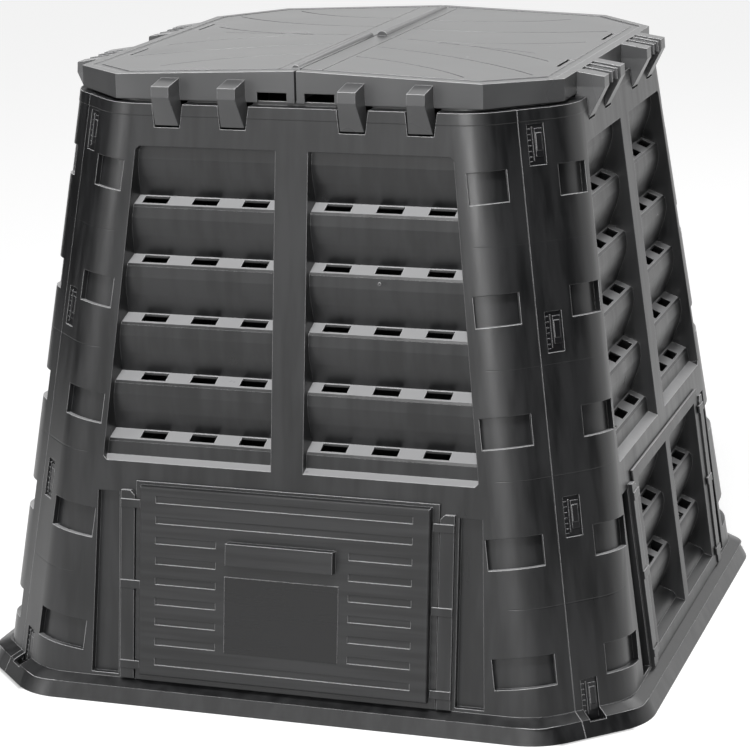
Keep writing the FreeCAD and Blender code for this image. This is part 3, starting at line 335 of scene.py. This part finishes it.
# %% [markdown]
# ## The blank plate of the hatch
#
# The plate in the middle of the hatch comes off a more polished part of the mould, so it is a
# shade darker than the ribbed field round it. It is the same piece, so it gets the same finish,
# and a mask on the place picks it out: inside a width, and between two heights.

# %% Plate mask
PLATE_HALF = 0.078
PLATE_FOOT = 0.0797
PLATE_HEAD = 0.1799
PLATE_FADE = 0.0005


def plate_mask(finish):
    """1 on the blank plate of the hatch, 0 elsewhere."""
    x, _, z = finish.axes()
    across = 1 - abs(x).between(PLATE_HALF - PLATE_FADE, PLATE_HALF + PLATE_FADE)
    above_foot = z.between(PLATE_FOOT - PLATE_FADE, PLATE_FOOT + PLATE_FADE)
    below_head = 1 - z.between(PLATE_HEAD - PLATE_FADE, PLATE_HEAD + PLATE_FADE)
    return across * above_foot * below_head


# %% [markdown]
# ## One plastic for each moulding
#
# Walls fill upwards, so their streaks stand upright. The hatch fills across its ribs. The lids are
# painted a greyer black than the walls, a painted reflection of the white studio that they mirror
# at a low angle. The clips are painted the blackest, as painted shade for the shade of their
# windows.

# %% Plastics
# Painted reflection: the lids' greys are paler than the walls' to stand for what the lids mirror.
LID_REFLECTION_GREY = (0.066, 0.0665, 0.068, 1)
LID_REFLECTION_PALE = (0.098, 0.0985, 0.1, 1)
# Painted shade: the clips' blacks are darker to stand for the shade inside their windows.
CLIP_SHADE_BLACK = (0.007, 0.007, 0.008, 1)
CLIP_SHADE_GREY = (0.013, 0.013, 0.014, 1)
UPRIGHT_STREAKS = (60.0, 60.0, 1.2)
LEVEL_STREAKS = (6.0, 6.0, 140.0)
LID_CLOUDS = (5.0, 5.0, 5.0)
CLIP_CLOUDS = (20.0, 20.0, 20.0)
finishes = {
    "wall_plastic": plastic("wall_plastic", BLACK, GREY_BLACK, 0.34, UPRIGHT_STREAKS, 0.24,
                            marks=mould_lines, lit_ledges=True),
    "panel_plastic": plastic("panel_plastic", BLACK, GREY_BLACK, 0.38, UPRIGHT_STREAKS, 0.16,
                             lit_ledges=True),
    "hatch_plastic": plastic("hatch_plastic", BLACK, GREY_BLACK, 0.38, LEVEL_STREAKS, 0.14,
                             smooth=plate_mask),
    "lid_plastic": plastic("lid_plastic", LID_REFLECTION_GREY, LID_REFLECTION_PALE, 0.30, LID_CLOUDS, 0.12),
    "clip_plastic": plastic("clip_plastic", CLIP_SHADE_BLACK, CLIP_SHADE_GREY, 0.34, CLIP_CLOUDS, 0.1),
}
print("plastics:", ", ".join(finishes))

# %% [markdown]
# ## Blackened steel for the hinge pins
#
# The pins are wire, oiled and blackened against rust. The finish is metallic under a thin dark
# film, with fine rings from drawing the wire, which the noise gives when it is stretched round
# the pin.

# %% Steel finish
STEEL_DARK = (0.03, 0.03, 0.032, 1)
STEEL_PALE = (0.09, 0.088, 0.085, 1)
RING_STRETCH = (40.0, 900.0, 40.0)
RING_DEPTH = 0.00002


def blackened_steel():
    """Dark metal with fine rings along the pin."""
    finish = Finish("pin_steel")
    rings = finish.noise(finish.stretched(RING_STRETCH), 1.0)
    shader = finish.node("ShaderNodeBsdfPrincipled", None,
                         {"Base Color": finish.mix(rings, STEEL_DARK, STEEL_PALE),
                          "Metallic": 0.8, "Roughness": 0.3 + rings * 0.2,
                          "Normal": finish.bump(rings, RING_DEPTH)})
    return finish.surface(shader)


finishes["pin_steel"] = blackened_steel()

# %% [markdown]
# ## Giving the solids their finish
#
# Each solid's record names a material slot, so the finish follows from the record. The mesh of a
# solid stays as it is, with its own normals: flat faces stay flat, and bends stay smooth.

# %% Dress the solids
slot_of = {row["node"]: row["material_slot"] for row in frame["record"]["subparts"]}
for node, piece in frame["nodes"].items():
    piece.data.materials.clear()
    piece.data.materials.append(finishes[slot_of[node]])
print("dressed", len(frame["nodes"]), "solids")

# %% [markdown]
# ## Small marks that are built as meshes
#
# Some things are too small to be worth a solid in the record, and still catch the light: the
# tongue, the rail and the ratchet teeth on the face of every corner clip, the hollow bosses beside
# the hinge hooks, and the round marks where the melt entered the mould. One helper makes a block
# with rounded edges at a place, and another makes a small turned ring. Every mesh rides on the
# body that it belongs to, and takes the finish of the moulding that it is part of.

# %% Blocks and rings
MILLIMETRES = 1000
BLOCK_EDGE = 0.0003
RING_STEPS = 20


def turned(angle, axis):
    """A turn by an angle in degrees."""
    return Matrix.Rotation(math.radians(angle), 4, axis)


def rounded_block(mesh, place, low, high):
    """A block between two corners in millimetres, with rounded edges, moved to a place."""
    low, high = Vector(low) / MILLIMETRES, Vector(high) / MILLIMETRES
    spread = Matrix.Diagonal(high - low).to_4x4()
    made = bmesh.ops.create_cube(mesh, size=1.0,
                                 matrix=place @ Matrix.Translation((low + high) / 2) @ spread)
    edges = list({edge for vertex in made["verts"] for edge in vertex.link_edges})
    bmesh.ops.bevel(mesh, geom=edges, offset=BLOCK_EDGE, segments=2, profile=0.5, affect="EDGES")


def turned_ring(mesh, place, outline):
    """A ring turned from an outline of (radius, height) pairs in millimetres, moved to a place."""
    rows = []
    for step in range(RING_STEPS):
        angle = 2 * math.pi * step / RING_STEPS
        across, along = math.cos(angle), math.sin(angle)
        points = [Vector((radius * across, radius * along, height)) / MILLIMETRES
                  for radius, height in outline]
        rows.append([mesh.verts.new(place @ point) for point in points])
    for row, following in zip(rows, rows[1:] + rows[:1]):
        for index in range(len(outline) - 1):
            mesh.faces.new((row[index], following[index], following[index + 1], row[index + 1]))


def hand_over(name, mesh, body, slot):
    """Turns a finished mesh into a named piece that rides on a body and has a finish."""
    data = bpy.data.meshes.new(name)
    bmesh.ops.recalc_face_normals(mesh, faces=mesh.faces)
    mesh.to_mesh(data)
    mesh.free()
    piece = bpy.data.objects.new(name, data)
    bpy.context.scene.collection.objects.link(piece)
    data.materials.append(finishes[slot])
    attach(piece, body)


# %% [markdown]
# ## The faces of the corner clips
#
# A clip's face sits a few millimetres inside its window. On the right is the smooth tongue with
# the pad that a thumb presses, next to it a thin rail, and on the left a row of ratchet teeth
# over a stop. The place of a clip is found from the lean of the walls: the walls lean in by a set
# amount for every metre of height, and the corner runs along the diagonal.

# %% Clip faces
WALL_HALF_AT_GROUND = 0.4439
WALL_LEAN_IN = 0.130424
CORNER_LEG = 0.100
CORNER_LEAN = 10.45
CLIP_HEIGHTS = (0.040, 0.27167, 0.50333, 0.735)
CORNERS = ("front_left", "front_right", "back_right", "back_left")
TONGUE = (8, 1.2, -16), (19.6, 3, 20)
THUMB_PAD = (9.6, 0.7, -8), (17.8, 1.8, 14)
RAIL = (4.2, 0.9, -21), (5.6, 3, 22)
STOP = (-2.2, 2.0, -22), (3.0, 3, -20.6)
TOOTH = (-2.2, 1.5, 0), (2.6, 3, 2.2)
TOOTH_HEIGHTS = range(-17, 19, 7)


def clip_place(corner, height):
    """The middle of a clip's window: x to the right as seen from outside, y inwards, z up."""
    reach = math.sqrt(2) * (WALL_HALF_AT_GROUND - WALL_LEAN_IN * height - CORNER_LEG / 2)
    diagonal = turned(-45, "Z")
    spot = Matrix.Translation(diagonal @ Vector((0, -reach, height)))
    return turned(90 * corner, "Z") @ spot @ diagonal @ turned(-CORNER_LEAN, "X")


for corner, corner_name in enumerate(CORNERS):
    mesh = bmesh.new()
    for height in CLIP_HEIGHTS:
        place = clip_place(corner, height)
        for low, high in (TONGUE, THUMB_PAD, RAIL, STOP):
            rounded_block(mesh, place, low, high)
        for tooth in TOOTH_HEIGHTS:
            rounded_block(mesh, place, *[Vector(point) + Vector((0, 0, tooth)) for point in TOOTH])
    hand_over(corner_name + "_clip_faces", mesh, "bin", "clip_plastic")
print("clip faces at", len(CORNERS), "corners")

# %% [markdown]
# ## Bosses beside the hinge hooks and gate marks
#
# The end of each hinge pin shows in a small hollow boss at the near side of its hook. The lids and
# the walls carry the marks of the gates, which are shallow rings with a pip in the middle. A gate
# mark lies flat on its surface, so its place is built from the lean of that surface.

# %% Bosses and gate marks
HINGE_AXIS_X = 0.340
HINGE_AXIS_Z = 0.774
HOOK_SIDES = (-0.1818, 0.1582)
BOSS_OUTLINE = ((1.5, -0.6), (1.5, 0.4), (2.0, 1.0), (3.2, 1.0), (3.9, 0.3), (4.0, -0.4))
GATE_OUTLINE = ((0.0001, 0.35), (0.6, 0.25), (0.9, 0.02), (1.5, 0.02), (1.8, 0.2), (2.1, 0.2),
                (2.4, -0.2))
WALL_LEAN = math.atan(WALL_LEAN_IN)
LID_FALL = 0.0395
LID_TOP = 0.824
WALL_GATE_ACROSS = 0.12
WALL_GATE_HEIGHT = 0.564
LID_GATES = ((0.246, 0.0), (0.17, -0.13))


def wall_place(turn, across, height):
    """A place on the outside of a wall, with z pointing out of the wall."""
    stand = WALL_HALF_AT_GROUND - WALL_LEAN_IN * height
    return (turned(turn, "Z") @ Matrix.Translation((across, -stand, height))
            @ turned(90, "X") @ Matrix.Rotation(-WALL_LEAN, 4, "X"))


for side, body in ((0, "right_lid"), (180, "left_lid")):
    mesh = bmesh.new()
    for along in HOOK_SIDES:
        spot = Matrix.Translation((HINGE_AXIS_X, along, HINGE_AXIS_Z))
        turned_ring(mesh, turned(side, "Z") @ spot @ turned(90, "X"), BOSS_OUTLINE)
    for x, y in LID_GATES:
        spot = Matrix.Translation((x, y, LID_TOP - LID_FALL * x))
        slope = Matrix.Rotation(math.atan(LID_FALL), 4, "Y")
        turned_ring(mesh, turned(side, "Z") @ spot @ slope, GATE_OUTLINE)
    hand_over(body + "_marks", mesh, body, "lid_plastic")
mesh = bmesh.new()
for turn in (0, 90, 180, 270):
    turned_ring(mesh, wall_place(turn, WALL_GATE_ACROSS, WALL_GATE_HEIGHT), GATE_OUTLINE)
hand_over("wall_gate_marks", mesh, "bin", "wall_plastic")
print("bosses and gate marks")

# %% [markdown]
# ## Ground and backdrop
#
# The photograph is cut out on pure white. The ground is a wide pale sheet that glows a little
# towards the camera, so that it reads as white and still takes a soft shadow. Under the bin it
# doesn't glow, because the vents look down on it and the inside of a closed bin is dark. The
# world is white for the camera and in reflections, and grey as a source of light, so that the
# object isn't flooded.

# %% Ground and world
WHITE = (1, 1, 1, 1)
GROUND_HALF = 12.0
GROUND_GREY = (0.5, 0.5, 0.5, 1)
GROUND_SHADE = (0.36, 0.36, 0.36, 1)
GROUND_GLOW = 0.78
INSIDE_HALF = 0.455
INSIDE_CORNER = 0.83
INSIDE_FADE = 0.01
AMBIENT = 0.27


def make_sheet(name, corners, material):
    """A flat sheet of the studio between four corners."""
    mesh = bpy.data.meshes.new(name)
    mesh.from_pydata(corners, [], [(0, 1, 2, 3)])
    mesh.materials.append(material)
    sheet = bpy.data.objects.new(name, mesh)
    bpy.context.scene.collection.objects.link(sheet)
    return sheet


def ground_finish():
    """A sheet that glows where it is seen, and is plain grey as a source of light."""
    finish = Finish("ground_sheet")
    x, y, _ = finish.axes()
    far = abs(x).math("MAXIMUM", abs(y)).between(INSIDE_HALF - INSIDE_FADE, INSIDE_HALF)
    cut_off = (abs(x) + abs(y)).between(INSIDE_CORNER - INSIDE_FADE, INSIDE_CORNER)
    path = finish.node("ShaderNodeLightPath", out="Is Camera Ray")
    seen = path.math("MAXIMUM", path.output("Is Glossy Ray")) * far.math("MAXIMUM", cut_off)
    pale = finish.node("ShaderNodeBsdfDiffuse", None, {"Color": GROUND_GREY})
    shaded = finish.node("ShaderNodeBsdfDiffuse", None, {"Color": GROUND_SHADE})
    glow = finish.node("ShaderNodeEmission", None, {"Color": WHITE, "Strength": GROUND_GLOW})
    lit = finish.node("ShaderNodeAddShader", None, {0: shaded, 1: glow})
    return finish.surface(finish.node("ShaderNodeMixShader", None, {0: seen, 1: pale, 2: lit}))


def make_world(ambient):
    """White for the camera, in reflections and behind glass, and grey as a light."""
    world = bpy.data.worlds.new("studio")
    nodes = Nodes(world)
    path = nodes.node("ShaderNodeLightPath", out="Is Camera Ray")
    seen = path.math("MAXIMUM", path.output("Is Glossy Ray"))
    seen = seen.math("MAXIMUM", path.output("Is Transmission Ray"))
    strength = nodes.node("ShaderNodeMapRange", None,
                          {"Value": seen, "To Min": ambient, "To Max": 1.0})
    background = nodes.node("ShaderNodeBackground", None, {"Color": WHITE, "Strength": strength})
    nodes.node("ShaderNodeOutputWorld", None, {"Surface": background})
    world.cycles.sampling_method = "NONE"
    bpy.context.scene.world = world


ground_corners = [(x * GROUND_HALF, y * GROUND_HALF, 0)
                  for x, y in ((-1, -1), (1, -1), (1, 1), (-1, 1))]
ground = make_sheet("ground", ground_corners, ground_finish())
make_world(AMBIENT)
print("ground and world")

# %% [markdown]
# ## Lamps and flags
#
# Black plastic is lit by what it reflects. In the photograph the right wall and the lids are pale
# because they mirror the white studio at a low angle, and the corner between the two walls is the
# darkest place, because it mirrors something dark at the photographer's right. A studio makes
# such a place with a black board, called a flag. Two flags stand out of view. A broad lamp fills
# the front, a small strong one above draws the edges, two narrow ones stand for the glow on the
# left edges and on the bend of the corner, and one lights the back.

# %% Lamps and flags
FLAG_BLACK = (0.02, 0.02, 0.02, 1)
FLAGS = (("right_flag", -20, 2.6, 3.2, 2.6), ("left_flag", 170, 2.6, 2.6, 2.6))
LAMPS = (("key", (-0.5, -4.6, 1.55), (0, 0, 0.6), 3.0, 1.3, 18),
         ("overhead", (0.2, -1.9, 3.3), (0, 0, 0.4), 1.1, 0.5, 100),
         ("left_edge", (-3.0, -2.4, 1.5), (0, 0, 0.5), 0.5, 1.4, 18),
         ("corner_glow", (1.04, -4.9, 1.5), (0, 0, 0.6), 0.9, 1.1, 60),
         ("rear", (1.2, 2.6, 3.0), (0, 0, 0.7), 2.6, 1.6, 40))


def make_flag(name, bearing, distance, width, height):
    """A black board that stands on the ground at a bearing from the bin and faces it."""
    finish = Finish(name + "_cloth")
    cloth = finish.surface(finish.node("ShaderNodeBsdfDiffuse", None, {"Color": FLAG_BLACK}))
    half = width / 2
    flag = make_sheet(name, [(-half, 0, 0), (half, 0, 0), (half, 0, height), (-half, 0, height)],
                      cloth)
    angle = math.radians(bearing)
    flag.location = (distance * math.cos(angle), distance * math.sin(angle), 0)
    flag.rotation_euler = (0, 0, angle + math.pi / 2)
    flag.visible_camera = False


def make_lamp(name, spot, target, width, height, power):
    """A broad soft lamp at a spot, turned to a target."""
    data = bpy.data.lights.new(name, "AREA")
    data.shape = "RECTANGLE"
    data.size = width
    data.size_y = height
    data.energy = power
    lamp = bpy.data.objects.new(name, data)
    bpy.context.scene.collection.objects.link(lamp)
    lamp.location = spot
    lamp.rotation_euler = (Vector(target) - Vector(spot)).to_track_quat("-Z", "Y").to_euler()


for row in FLAGS:
    make_flag(*row)
for row in LAMPS:
    make_lamp(*row)
bpy.context.scene.view_settings.view_transform = "Standard"
print(len(FLAGS), "flags and", len(LAMPS), "lamps")

# %% [markdown]
# ## Check the size
#
# The added marks must not make the bin bigger. At the end the scene is brought up to date once
# more.

# %% Update the scene
bpy.context.view_layer.update()
